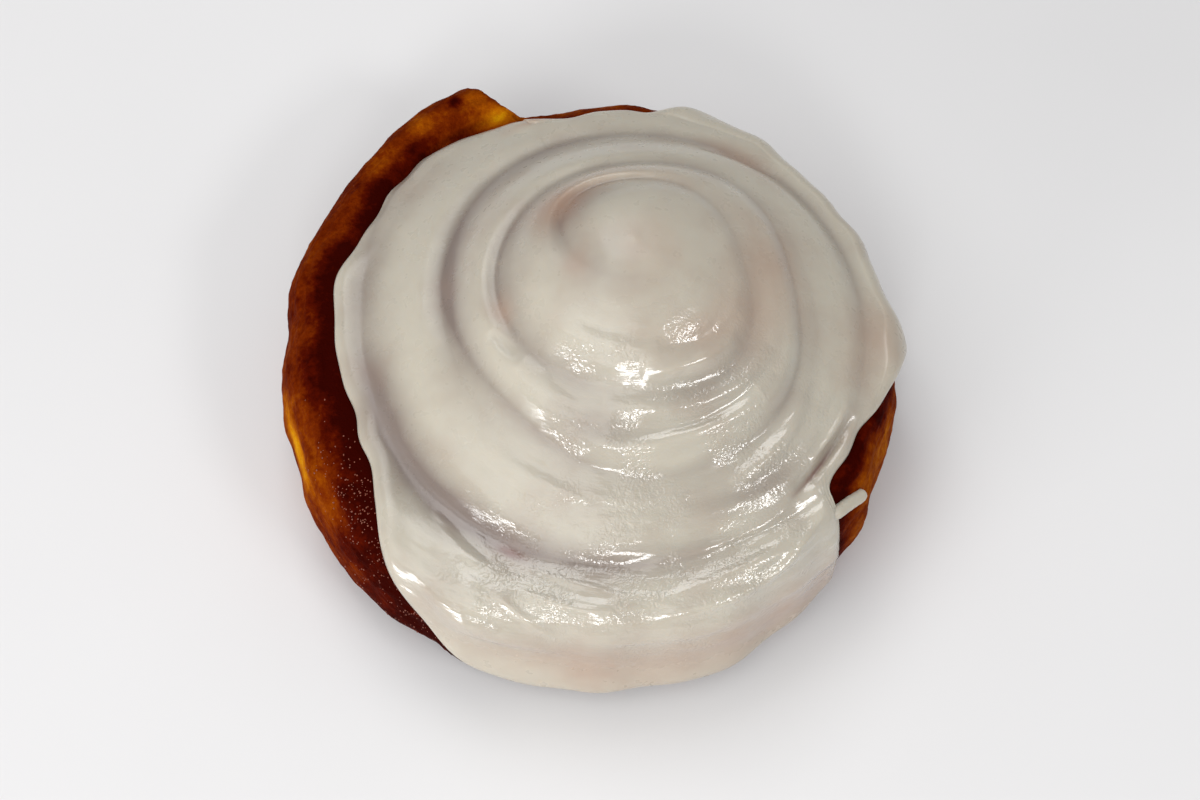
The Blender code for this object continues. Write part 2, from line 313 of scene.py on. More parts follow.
@dataclass(frozen=True)
class Section:
    """Points of the coil's half sections, before its swirl is pressed in."""

    azimuth: Numbers
    radius: Numbers
    height: Numbers
    climb: Numbers  # up the face from the floor, on over the shoulder
    reach: Numbers  # out over the top from the axis, and on down the side
    swirl_radius: Numbers  # where on the top the swirl is read
    press: Numbers  # share of the swirl's depth that acts here

    def spots(self, table: tuple) -> Numbers:
        """Sum of soft spots on the face.

        Args:
            table: for each spot its azimuth and reach, its half lengths round the coil and
                across, and its strength.

        Returns:
            The sum at each point.
        """
        total = np.zeros_like(self.reach)
        for at, reach, along, across, strength in table:
            beside = np.radians(angle_between(self.azimuth, at)) * np.maximum(self.radius, 1.0)
            total += strength * np.exp(-((beside / along) ** 2) - ((self.reach - reach) / across) ** 2)
        return total

    def strokes(self, table: tuple) -> Numbers:
        """Sum of narrow strokes along the face."""
        return strokes(self.azimuth, self.reach, table)


@dataclass(frozen=True)
class CoilForm:
    """The form of the coil: a strip wound inwards from a free end at the left of the back.

    Radii are given every 45 degrees, a turn to a row: back, back left, left, front left,
    front, front right, right, back right.
    """

    end_azimuth: float = 114.5
    # The strip's blunt end steps up in two lobes: degrees from the end, share of its full size
    end_degrees: tuple = (0.0, 1.2, 2.4, 3.0, 3.8, 4.6, 5.6, 7.2)
    end_shares: tuple = (0.0, 0.06, 0.50, 0.68, 0.78, 0.92, 0.98, 1.0)
    station_step: float = 45.0
    face_radii: tuple = (
        (66.0, 66.3, 65.2, 66.2, 62.2, 54.4, 47.8, 44.8),
        (50.3, 53.4, 49.0, 50.0, 50.0, 45.5, 40.5, 36.5),
        (34.0, 35.2, 32.8, 31.5, 36.0, 34.5, 27.5, 26.0),
        (21.5, 22.0, 23.5, 23.5, 24.0, 24.5, 18.5, 17.0),
        (15.6, 15.5, 10.8, 8.0, 7.0, 7.5, 8.0, 6.5),
        (4.0, 0.0, -5.0, -8.0, -9.0, -9.0, -9.0, -9.0),
    )
    # Share of the full groove depth along each of those turns
    groove_shares: tuple = (
        (0.0, 0.0, 0.0, 0.0, 0.0, 0.0, 0.0, 0.2),
        (1.0, 0.6, 0.3, 1.05, 0.4, 0.2, 0.45, 0.6),
        (0.6, 0.8, 1.0, 0.6, 0.4, 0.5, 0.5, 0.4),
        (0.5, 0.6, 0.8, 0.7, 0.35, 0.6, 0.3, 0.3),
        (0.45, 0.7, 0.4, 0.25, 0.15, 0.05, 0.0, 0.0),
        (0.0, 0.0, 0.0, 0.0, 0.0, 0.0, 0.0, 0.0),
    )
    # The outermost groove fades in over these degrees, and all grooves end near the apex
    groove_fade: float = 8.0
    soft_centre: tuple[float, float] = (0.0, 7.0)
    # Where each turn's crest lies, from its outer face at 0 to its inner face at 1
    crest_places: tuple = (0.70, 0.68, 0.62, 0.40, 0.30, 0.27, 0.30, 0.42)
    # Height of the mound under the swirl, every so many millimetres out from the axis
    mound_step: float = 8.0
    mound_heights: tuple = (52.5, 51.5, 48.0, 43.0, 37.5, 32.5, 28.5, 26.5, 25.5, 25.0)
    # The side rounds off over this share of the strip's thickness, squarer for a higher power
    rounding_share: float = 0.55
    rounding_power: float = 2.3
    # Height where the coil is widest, and what the whole side's height counts for in a climb
    widest_level: float = 10.0
    shoulder_level: float = 26.0
    foot_tuck: float = 3.0
    # Waves of the outline: how many go round, phase in degrees, and size
    crust_waves: tuple = ((5, 40.0, 0.45), (11, 95.0, 0.35), (19, 10.0, 0.25), (31, 70.0, 0.15))
    # Bulges and hollows of the outline: azimuth, half width in degrees, and size
    bulges: tuple = ((170.0, 9.0, 1.6), (151.0, 7.0, -1.0), (241.0, 7.0, 1.3), (232.0, 5.0, 0.4))
    # Narrow folds in the top: azimuth and reach at both ends, depth, and half width
    folds: tuple = (
        ((282.0, 18.0), (330.0, 20.5), 0.7, 1.6),
        ((262.0, 29.0), (314.0, 30.0), 0.8, 1.9),
        ((284.0, 47.5), (316.0, 50.5), 0.5, 1.5),
        ((286.0, 56.0), (312.0, 52.5), 0.5, 1.6),
        ((205.0, 27.0), (222.0, 26.0), 0.6, 1.4),
    )
    # Shares of a half section that its top, its side and its foot take
    top_share: float = 0.60
    side_share: float = 0.20
    foot_share: float = 0.08
    # Over what share, and over what length of the mound, a slope is measured
    slope_step: float = 0.01
    mound_slope_step: float = 1.0
    # Part of a half section in which a climb is looked for, and in how many steps
    climb_places: tuple[float, float] = (0.3, 0.95)
    climb_steps: int = 500

    def unrolled(self, azimuth: Numbers) -> Numbers:
        """The azimuth counted on from the strip's free end, up to a whole turn."""
        return np.mod(azimuth - self.end_azimuth, FULL_TURN)

    def station(self, turned: Numbers, turn: int) -> Numbers:
        """Place in the tables of the spiral face, whose first column is the back."""
        return (turned + self.end_azimuth - BACK + FULL_TURN * turn) / self.station_step

    def face_radius(self, turned: Numbers, turn: int) -> Numbers:
        """Radius of the spiral face that lies this many whole turns in."""
        return spline(self.face_radii, self.station(turned, turn))

    def groove_share(self, turned: Numbers, turn: int) -> Numbers:
        """Share of the full groove depth along that face."""
        return np.clip(spline(self.groove_shares, self.station(turned, turn)), 0.0, None)

    def crest_radius(self, turned: Numbers, turn: int) -> Numbers:
        """Radius of the crest between that spiral face and the next one in."""
        across = round_the_coil(self.crest_places, turned + self.end_azimuth)
        return self.face_radius(turned, turn) * (1.0 - across) + self.face_radius(turned, turn + 1) * across

    def end_share(self, turned: Numbers) -> Numbers:
        """How much of the outer strip is there, from none at its end to all of it."""
        return np.interp(turned, self.end_degrees, self.end_shares)

    def missing_strip(self, turned: Numbers) -> Numbers:
        """How much narrower the coil is near the strip's end than the whole strip would make it."""
        return (self.face_radius(turned, 0) - self.face_radius(turned, 1)) * (1.0 - self.end_share(turned))

    def outline(self, azimuth: Numbers) -> tuple[Numbers, Numbers]:
        """The coil's widest radius, and how far in from it the rounding of its side starts.

        Args:
            azimuth: degrees.

        Returns:
            Both lengths. The strip's end drops in lobes onto the turn behind it.
        """
        turned = self.unrolled(azimuth)
        strip, behind, further_in = [self.face_radius(turned, turn) for turn in range(3)]
        share = self.end_share(turned)
        widest = behind + (strip - behind) * share
        widest = widest + waves(azimuth, self.crust_waves) + bumps(azimuth, self.bulges)
        thickness = (behind - further_in) + (strip - 2.0 * behind + further_in) * share
        return widest, self.rounding_share * thickness

    def mound(self, radius: Numbers) -> Numbers:
        """Height of the smooth mound under the swirl."""
        return spline(self.mound_heights, radius / self.mound_step)

    def mound_normal(self, radius: Numbers) -> tuple[Numbers, Numbers]:
        """Outward and upward parts of the smooth mound's normal."""
        drop = self.mound(radius) - self.mound(radius + self.mound_slope_step)
        fall = np.arctan(drop / self.mound_slope_step)
        return np.sin(fall), np.cos(fall)

    def section(self, azimuth: Numbers, place: Numbers) -> Section:
        """Points of half sections that run from the apex at 0 to the base's middle at 1.

        Args:
            azimuth: degrees.
            place: places along the half section, the same shape as azimuth.

        Returns:
            The points.
        """
        widest, rounding = self.outline(azimuth)
        shoulder = widest - rounding
        radius = np.clip(place / self.top_share, 0.0, 1.0) * shoulder
        height = self.mound(radius) - strokes(azimuth, radius, self.folds)

        side_end = self.top_share + self.side_share
        foot_end = side_end + self.foot_share
        down = QUARTER_TURN * np.clip((place - self.top_share) / self.side_share, 0.0, 1.0)
        under = QUARTER_TURN * np.clip((place - side_end) / self.foot_share, 0.0, 1.0)
        inwards = np.clip((place - foot_end) / (1.0 - foot_end), 0.0, 1.0)
        outwards = np.sin(down) ** (2.0 / self.rounding_power)
        upwards = np.abs(np.cos(down)) ** (2.0 / self.rounding_power)

        side_radius = shoulder + rounding * outwards
        side_height = self.widest_level + (height - self.widest_level) * upwards
        foot_radius = widest - self.foot_tuck * (1.0 - np.cos(under))
        foot_height = self.widest_level * (1.0 - np.sin(under))
        flat_radius = (widest - self.foot_tuck) * (1.0 - inwards)
        top_climb = self.shoulder_level + widest - radius
        side_rise = (self.shoulder_level - self.widest_level) * upwards
        side_climb = self.widest_level + side_rise + widest - side_radius
        turned = self.unrolled(azimuth)
        first_groove = smooth_step(0.0, self.groove_fade, turned)
        swirled = np.where(radius > self.crest_radius(turned, 1), first_groove, 1.0)
        swirled = swirled * (radius < self.crest_radius(turned, 0)) * smooth_step(*self.soft_centre, radius)
        zones = [place <= self.top_share, place <= side_end, place <= foot_end]
        climb = np.select(zones, [top_climb, side_climb, foot_height], 0.0)
        return Section(
            azimuth=azimuth,
            radius=np.select(zones, [radius, side_radius, foot_radius], flat_radius),
            height=np.select(zones, [height, side_height, foot_height], 0.0),
            climb=climb,
            reach=self.shoulder_level + widest - climb,
            swirl_radius=radius,
            press=np.select(zones, [np.ones_like(place), upwards, np.zeros_like(place)]) * swirled,
        )

    def normal(self, azimuth: Numbers, place: Numbers) -> tuple[Numbers, Numbers]:
        """Outward and upward parts of the half section's normal, without its swirl."""
        ahead = self.section(azimuth, np.minimum(place + self.slope_step, 1.0))
        astern = self.section(azimuth, np.maximum(place - self.slope_step, 0.0))
        along, down = ahead.radius - astern.radius, ahead.height - astern.height
        length = np.maximum(np.hypot(along, down), SMALL)
        return -down / length, along / length

    def place_of(self, azimuths: Numbers, climbs: Numbers) -> Numbers:
        """Place along each of these half sections where its face has climbed this far."""
        places = np.linspace(*self.climb_places, self.climb_steps)
        rows = self.section(*np.meshgrid(azimuths, places, indexing="ij")).climb
        return np.array([np.interp(-climb, -row, places) for climb, row in zip(climbs, rows)])


@dataclass(frozen=True)
class IcingEdge:
    """Where the icing ends: its climb up the face, and the bare patch at the right."""

    form: CoilForm
    # Climb of the edge every so many degrees from the strip's end, without the bare patch
    step: float = 15.0
    band: tuple = (
        47.6, 40.3, 37.6, 38.3, 36.4, 37.4, 38.0, 34.0, 17.0, 5.0, 4.0, 4.0,
        4.5, 5.0, 5.5, 7.0, 8.0, 10.0, 13.0, 11.0, 13.0, 21.0, 32.2, 33.2, 34.0,
    )
    scallops: tuple = ((17, 20.0, 0.15), (37, 80.0, 0.08))
    # The edge laps further down beside the strip's end: azimuth, half width in degrees, how far
    laps: tuple = ((119.0, 6.0, 2.6),)
    # The patch, counted on from the strip's end: where it starts and ends, its climb every
    # so many degrees, and over how many degrees it opens and closes
    patch_from: float = 196.5
    patch_to: float = 243.0
    patch_step: float = 7.75
    patch_climbs: tuple = (31.0, 32.0, 31.4, 29.4, 27.8, 27.0, 27.0)
    patch_ends: tuple[float, float] = (0.7, 4.0)
    # The higher of band and patch holds, and this power joins them softly
    join_power: float = 5.0
    # How far to each side the nearest point of the edge is looked for, and in how many steps
    search: float = 6.0
    search_steps: int = 25

    def climb(self, azimuth: Numbers) -> Numbers:
        """How far up the face from the floor the icing's edge lies."""
        turned = self.form.unrolled(azimuth)
        inside = np.clip(turned, self.patch_from, self.patch_to) - self.patch_from
        opens = 1.0 - np.exp(-inside / self.patch_ends[0])
        closes = 1.0 - np.exp((inside + self.patch_from - self.patch_to) / self.patch_ends[1])
        patch = spline(self.patch_climbs, inside / self.patch_step) * opens * closes
        band = spline(self.band, turned / self.step) + waves(azimuth, self.scallops)
        band = band - bumps(azimuth, self.laps)
        joined = (band**self.join_power + patch**self.join_power) ** (1.0 / self.join_power)
        return joined - self.form.missing_strip(turned)

    def reach(self, azimuth: Numbers) -> Numbers:
        """How far out over the top, and on down the side, the icing's edge lies."""
        widest, _ = self.form.outline(azimuth)
        return self.form.shoulder_level + widest - self.climb(azimuth)

    def above(self, section: Section) -> Numbers:
        """Distance of points of the face above the icing's edge, below it negative.

        Args:
            section: the points.

        Returns:
            The least of the distances to the edge at a few offsets round the coil.
        """
        here = self.reach(section.azimuth) - section.reach
        nearest = np.abs(here)
        for offset in np.linspace(-self.search, self.search, self.search_steps):
            beside = section.azimuth + np.degrees(offset / np.maximum(section.radius, self.search))
            gap = self.reach(beside) - section.reach
            across = np.where(here * gap > 0.0, np.abs(gap), 0.0)
            nearest = np.minimum(nearest, np.hypot(offset, across))
        return np.where(here < 0.0, -nearest, nearest)


@dataclass(frozen=True)
class Columns:
    """Azimuths of the half sections that a piece is made of, closer where its outline turns."""

    step: float = 0.95
    # Start, end and step of each closer stretch
    fine_arcs: tuple = (
        (113.5, 117.5, 0.16),
        (117.5, 122.0, 0.22),
        (226.0, 245.0, 0.5),
        (309.5, 315.5, 0.22),
        (350.0, 359.0, 0.6),
    )

    def azimuths(self) -> Numbers:
        """All the azimuths, from 0 to a whole turn."""
        marks = [0.0]
        while marks[-1] < FULL_TURN:
            steps = [fine for start, end, fine in self.fine_arcs if start <= marks[-1] < end]
            marks.append(marks[-1] + (steps[0] if steps else self.step))
        return np.array(marks[:-1])


@dataclass(frozen=True)
class SwirlPress:
    """Presses the spiral groove into a smooth mound, as deep and as round as each piece needs."""

    form: CoilForm
    # Full depth of the groove in the dough and in the icing, and how round its crests are
    dough_groove: float = 4.3
    icing_groove: float = 2.3
    roundness: float = 2.2
    # How sharp the groove's bottom is, round the coil from its back
    sharpness: tuple = (6.0, 4.0, 3.4, 6.5, 6.0, 5.0, 4.5, 6.5)
    turns: int = 5
    path_step: float = 0.5
    blur_steps: int = 40

    def values(self, section: Section, stretch: float) -> dict[str, Numbers]:
        """Values that the swirl and the skin's relief are read from.

        Args:
            section: the points.
            stretch: how many times longer than wide the relief's marks are round the coil.

        Returns:
            The values by name. None has a seam round the coil.
        """
        return {
            "swirl_at": points_at(section.azimuth, section.swirl_radius) * MM,
            "press": section.press,
            "sharpness": round_the_coil(self.sharpness, section.azimuth),
            "flow": points_at(section.azimuth, section.swirl_radius, section.reach * stretch) * MM,
        }

    def spiral(self, name: str, first_turn: int, radius_of: Callable) -> Piece:
        """A spiral line, flat on the floor, with the groove's share of its full depth along it.

        Args:
            name: the line's name.
            first_turn: the turn that it starts with.
            radius_of: gives its radius from the degrees along a turn and the turn's number.

        Returns:
            The line.
        """
        steps = np.arange(0.0, FULL_TURN, self.path_step)
        turned, turn = [grid.ravel() for grid in np.meshgrid(steps, np.arange(first_turn, self.turns))]
        points = points_at(turned + self.form.end_azimuth, np.maximum(radius_of(turned, turn), 0.0))
        edges = [(i, i + 1) for i in range(len(points) - 1)]
        return new_piece(name, points, edges, {"share": self.form.groove_share(turned, turn)})

    def draw(self, add: Callable, given: Sockets) -> Node:
        """Lower each point by its groove's profile, and store how deep it lies, from which the icing paints
        shade into its grooves.

        Args:
            add: adds a node to the tree.
            given: the tree's named inputs.

        Returns:
            The node that makes the shape.
        """
        kinds = dict.fromkeys(("share", "sharpness", "settled", "press"), "FLOAT")
        named = {
            name: add(NAMED_VALUE, {"Name": name}, data_type=kind).outputs["Attribute"]
            for name, kind in {**kinds, "swirl_at": "FLOAT_VECTOR"}.items()
        }
        distances = []
        for label in ("Crests", "Grooves"):
            line = add("GeometryNodeObjectInfo", {"Object": given[label]}).outputs["Geometry"]
            at_line = {"Geometry": line, "Sample Position": named["swirl_at"]}
            near = add("GeometryNodeProximity", at_line, target_element="EDGES")
            distances.append(near.outputs["Distance"])
        across = add(MATH, distances, operation="ADD")
        off_crest = add(MATH, (distances[0], across), operation="DIVIDE")

        # The groove line's own share, blurred so that no step shows where two turns meet
        nearest = add("GeometryNodeSampleNearest", at_line)
        inputs = {"Geometry": line, "Value": named["share"], "Index": nearest}
        share = add("GeometryNodeSampleIndex", inputs, data_type="FLOAT")
        inputs = {"Value": share, "Iterations": self.blur_steps}
        share = add("GeometryNodeBlurAttribute", inputs, data_type="FLOAT")
        share = add(MATH, (share, named["press"]), operation="MULTIPLY")

        # Depth of the groove from its crest at 0 to its rounded bottom at 1
        curve = add(MATH, (off_crest, given["Roundness"]), operation="POWER")
        ratio = add(MATH, (given["Roundness"], named["sharpness"]), operation="DIVIDE")
        steep = add(MATH, (off_crest, named["sharpness"]), operation="POWER")
        rounding = add(MATH, (ratio, steep), operation="MULTIPLY")
        rounded = add(MATH, (curve, rounding), operation="SUBTRACT")
        whole = add(MATH, (1.0, ratio), operation="SUBTRACT")
        profile = add(MATH, (rounded, whole), operation="DIVIDE")
        depths = {"Factor": named["settled"], "A": given["Dough groove"], "B": given["Icing groove"]}
        fall = add(MATH, (profile, add(MIX, depths)), operation="MULTIPLY")
        fall = add(MATH, (fall, share), operation="MULTIPLY")
        down = add("ShaderNodeCombineXYZ", {"Z": add(MATH, (fall, -1.0), operation="MULTIPLY")})
        # Painted shade: the icing's colour darkens by this value towards each groove's bottom
        square = add(MATH, (off_crest, off_crest), operation="MULTIPLY")
        deep = add(MATH, (share, square), operation="MULTIPLY")
        inputs = {"Geometry": given["Geometry"], "Name": "groove", "Value": deep}
        kept = add("GeometryNodeStoreNamedAttribute", inputs)
        return add("GeometryNodeSetPosition", {"Geometry": kept, "Offset": down})

    def press(self, piece: Piece, material: Finish) -> None:
        """Press the swirl into a piece.

        Args:
            piece: a smooth mound with the values swirl_at, press, sharpness and settled.
            material: its finish.
        """
        grooves = self.spiral("grooves", 1, self.form.face_radius)
        crests = self.spiral("crests", 0, self.form.crest_radius)
        values = {
            "Grooves": grooves,
            "Crests": crests,
            "Dough groove": self.dough_groove * MM,
            "Icing groove": self.icing_groove * MM,
            "Roundness": self.roundness,
            "Material": material,
        }
        shape_with(piece, "press_swirl", values, self.draw)
        for line in (grooves, crests):
            bpy.data.objects.remove(line)


@dataclass(frozen=True)
class SkinRelief:
    """Uneven relief of a skin, broad swellings and fine wrinkles, both along its normal."""

    broad_depth: float
    broad_size: float
    fine_depth: float
    fine_size: float
    seed: int

    def draw(self, add: Callable, given: Sockets) -> Node:
        """Raise and lower the skin, as far as its value relief allows.

        Args:
            add: adds a node to the tree.
            given: the tree's named inputs.

        Returns:
            The node that makes the shape.
        """
        flow = add(NAMED_VALUE, {"Name": "flow"}, data_type="FLOAT_VECTOR").outputs["Attribute"]
        allowed = add(NAMED_VALUE, {"Name": "relief"}, data_type="FLOAT").outputs["Attribute"]
        rise = 0.0
        for kind, detail in (("Broad", 1.0), ("Fine", 2.0)):
            scale = add(MATH, (1.0, given[f"{kind} size"]), operation="DIVIDE")
            inputs = {"Vector": flow, "W": given["Seed"], "Scale": scale, "Detail": detail}
            noise = add(NOISE, inputs, noise_dimensions="4D")
            level = add(MATH, (noise, HALF), operation="SUBTRACT")
            swelling = add(MATH, (level, given[f"{kind} depth"]), operation="MULTIPLY")
            rise = add(MATH, (rise, swelling), operation="ADD")
        rise = add(MATH, (rise, allowed), operation="MULTIPLY")
        inputs = {0: add("GeometryNodeInputNormal"), "Scale": rise}
        offset = add("ShaderNodeVectorMath", inputs, operation="SCALE")
        return add("GeometryNodeSetPosition", {"Geometry": given["Geometry"], "Offset": offset})

    def raise_on(self, piece: Piece, material: Finish) -> None:
        """Raise the relief on a piece that has the values flow and relief."""
        values = {
            "Broad depth": self.broad_depth * MM,
            "Broad size": self.broad_size * MM,
            "Fine depth": self.fine_depth * MM,
            "Fine size": self.fine_size * MM,
            "Seed": self.seed,
            "Material": material,
        }
        shape_with(piece, "skin_relief", values, self.draw)


def start_finish(name: str) -> tuple[Finish, Node, Callable, Socket]:
    """Start a material.

    Args:
        name: its name.

    Returns:
        The material, its shader, what adds a node to it, and the coordinates on the mesh.
    """
    material = bpy.data.materials.new(name)
    material.use_nodes = True
    add = partial(add_node, material.node_tree)
    where = add("ShaderNodeTexCoord").outputs["Object"]
    return material, material.node_tree.nodes["Principled BSDF"], add, where


def marks(where: Socket, size: float, detail: float, roughness: float = 0.5) -> dict:
    """Inputs of a noise with marks of this size in millimetres."""
    return {"Vector": where, "Scale": 1.0 / (size * MM), "Detail": detail, "Roughness": roughness}


@dataclass(frozen=True)
class BakedCrust:
    """Crust of baked wheat dough, browned with sugar and butter.

    It browns unevenly, from gold on the strip's side to nearly black red-brown where syrup
    ran beside the icing, and is satin, with a faint wet coat and fine pores.
    """

    name: str = "baked_wheat_crust"
    browning: tuple = (
        (0.0, "#C88A08"),
        (0.22, "#AE6404"),
        (0.42, "#8C4202"),
        (0.62, "#6A2401"),
        (0.82, "#480B00"),
        (1.0, "#2E0300"),
    )
    blotch: float = 6.0
    grain: float = 0.9
    pore: float = 0.45
    # How unevenly blotches and grains are browned, and what is then added
    blotch_swing: tuple[float, float] = (0.9, -0.40)
    grain_swing: tuple[float, float] = (0.34, -0.17)
    # How uneven each pattern's edges are
    raggedness: float = 0.6
    gloss_size: float = 1.8
    crumb: float = 1.44
    pit_depth: float = 0.35
    pit_strength: float = 0.55
    ior: float = 1.45
    roughness: tuple[float, float] = (0.55, 0.75)
    # Pores and crumbs break up nearly all of its sheen
    sheen_share: float = 0.01

    def make(self) -> Finish:
        """Build the material; its browning follows the mesh's value bake."""
        material, shader, add, where = start_finish(self.name)
        blotches, grains, glossy, pores, crumbs = [
            add(NOISE, marks(where, size, detail, self.raggedness))
            for size, detail in (
                (self.blotch, 4.0),
                (self.grain, 3.0),
                (self.gloss_size, 2.0),
                (self.pore, 2.0),
                (self.crumb, 2.0),
            )
        ]
        bake = add(MESH_VALUE, attribute_name="bake").outputs["Fac"]
        blotched = add(MATH, (blotches, *self.blotch_swing), operation="MULTIPLY_ADD")
        grained = add(MATH, (grains, *self.grain_swing), operation="MULTIPLY_ADD")
        browned = add(MATH, (bake, blotched), operation="ADD")
        browned = add(MATH, (browned, grained), operation="ADD", use_clamp=True)
        ramp = add("ShaderNodeValToRGB", (browned,))
        stops = ramp.color_ramp.elements
        for position, _ in self.browning[1:-1]:
            stops.new(position)
        for stop, (position, code) in zip(stops, self.browning):
            stop.position = position
            stop.color = linear_colour(code)
        low, high = self.roughness
        pits = add(MATH, (pores, crumbs), operation="ADD")
        inputs = {"Height": pits, "Distance": self.pit_depth * MM, "Strength": self.pit_strength}
        looks = {
            "Base Color": ramp,
            "Roughness": add(MAP_RANGE, {"Value": glossy, "To Min": low, "To Max": high}),
            "Normal": add("ShaderNodeBump", inputs),
            "IOR": self.ior,
            "Specular IOR Level": self.sheen_share,
        }
        feed(shader, looks)
        return material


@dataclass(frozen=True)
class SugarIcing:
    """Poured icing of powdered sugar and milk, set on the outside.

    It is a translucent cream with painted shade in its grooves, over hollows and along a cleft; it shows the
    brown dough where it is thin, and has a glossy skin that wrinkled as it slid down the front.
    """

    name: str = "poured_sugar_icing"
    thick: str = "#B9B2A3"
    # Colour of the painted shade in the grooves and over hollows
    groove: str = "#7E7169"
    thin: str = "#A88A76"
    # Colour of bare crust, also used for the painted shade along a cleft
    bare: str = "#643222"
    ior: float = 1.49
    roughness: tuple[float, float] = (0.24, 0.34)
    gloss_size: float = 2.5
    # How much less rough the wrinkled front is
    front_gloss: float = 0.10
    translucency: float = 0.3
    translucent_depth: float = 2.2
    # How far light spreads in it: red, green and blue, as shares of that depth
    spread: tuple[float, float, float] = (1.0, 0.72, 0.5)
    # Cloudiness of the cream: size of the clouds, how strong they are, and what is then added
    cloud: float = 9.0
    cloud_swing: tuple[float, float] = (0.5, -0.25)
    wrinkle: float = 4.2
    wrinkle_depth: float = 0.11
    # Its skin is crinkled in patches, where the patches' noise lies within this range
    crinkle: float = 1.1
    crinkle_share: float = 2.6
    patch: float = 8.0
    patch_range: tuple[float, float] = (0.40, 0.62)
    # Glassy skin of dried sugar over the cream: its weight where smooth and where wrinkled
    glaze: tuple[float, float] = (0.0, 1.0)
    glaze_roughness: float = 0.14

    def make(self) -> Finish:
        """Build the material; it reads the mesh's values for painted shade in the grooves and over hollows,
        thin icing, bare crust with a cleft's painted shade, relief and flow.
        """
        material, shader, add, where = start_finish(self.name)
        value = {
            name: add(MESH_VALUE, attribute_name=name).outputs["Fac"]
            for name in ("groove", "painted_shade", "thin", "bare", "relief")
        }
        flow = add(MESH_VALUE, attribute_name="flow").outputs["Vector"]
        clouds, crinkles, patches, wrinkles, glossy = [
            add(NOISE, marks(place, size, detail))
            for place, size, detail in (
                (where, self.cloud, 3.0),
                (where, self.crinkle, 2.0),
                (where, self.patch, 2.0),
                (flow, self.wrinkle, 3.0),
                (where, self.gloss_size, 2.0),
            )
        ]
        cloudy = add(MATH, (clouds, *self.cloud_swing), operation="MULTIPLY_ADD")
        # Painted shade: the grooves' depth and the shade spots darken the cream, with its own clouds
        shade_marks = add(MATH, (value["groove"], value["painted_shade"]), operation="ADD")
        shade_with_clouds = add(MATH, (shade_marks, cloudy), operation="ADD", use_clamp=True)
        see_through = add(MATH, (value["thin"], cloudy), operation="ADD", use_clamp=True)
        colour = linear_colour(self.thick)
        for share, code in ((shade_with_clouds, self.groove), (see_through, self.thin), (value["bare"], self.bare)):
            inputs = {"Factor": share, "A": colour, "B": linear_colour(code)}
            colour = add(MIX, inputs, data_type="RGBA").outputs["Result"]

        level = add(MATH, (crinkles, HALF), operation="SUBTRACT")
        crumpled = add(MATH, (level,), operation="ABSOLUTE")
        least, most = self.patch_range
        inputs = {"Value": patches, "From Min": least, "From Max": most, "To Max": self.crinkle_share}
        crumpled = add(MATH, (crumpled, add(MAP_RANGE, inputs)), operation="MULTIPLY")
        skin = add(MATH, (wrinkles, crumpled), operation="SUBTRACT")
        skin = add(MATH, (skin, value["relief"]), operation="MULTIPLY")
        inputs = {"Height": skin, "Distance": self.wrinkle_depth * MM, "Strength": 1.0}
        normal = add("ShaderNodeBump", inputs)

        low, high = self.roughness
        gloss = add(MAP_RANGE, {"Value": glossy, "To Min": low, "To Max": high})
        smoothed = add(MATH, (value["relief"], -self.front_gloss), operation="MULTIPLY")
        low, high = self.glaze
        looks = {
            "Base Color": colour,
            "Roughness": add(MATH, (gloss, smoothed), operation="ADD"),
            "Normal": normal,
            "Coat Normal": normal,
            "Coat Weight": add(MAP_RANGE, {"Value": value["relief"], "To Min": low, "To Max": high}),
            "Coat Roughness": self.glaze_roughness,
            "Coat IOR": self.ior,
            "IOR": self.ior,
            "Subsurface Weight": self.translucency,
            "Subsurface Radius": self.spread,
            "Subsurface Scale": self.translucent_depth * MM,
        }
        feed(shader, looks)
        return material


@dataclass(frozen=True)
class MottledFinish:
    """A plain finish, mottled between two colours with marks of this size in millimetres."""

    name: str
    first: str
    second: str
    mottle: float
    detail: float
    roughness: float
    ior: float = 1.5

    def make(self) -> Finish:
        """Build the material."""
        material, shader, add, where = start_finish(self.name)
        mottled = add(NOISE, marks(where, self.mottle, self.detail))
        inputs = {"Factor": mottled, "A": linear_colour(self.first), "B": linear_colour(self.second)}
        colour = add(MIX, inputs, data_type="RGBA").outputs["Result"]
        feed(shader, {"Base Color": colour, "IOR": self.ior, "Roughness": self.roughness})
        return material


# Coarse sugar melted onto the crust: clear wet grains that glint, some browner than others
SUGAR_CRYSTAL = MottledFinish(
    "melted_sugar_grain", "#5A2414", "#96523C", mottle=0.6, detail=2.0, roughness=0.3, ior=1.54
)
# Matt melamine board: pale, and so faintly mottled, nine marks to the metre, that it looks even
PALE_BOARD = MottledFinish(
    "matt_pale_board", "#E5E4E4", "#DDDCDC", mottle=1000.0 / 9.0, detail=3.0, roughness=0.7
)


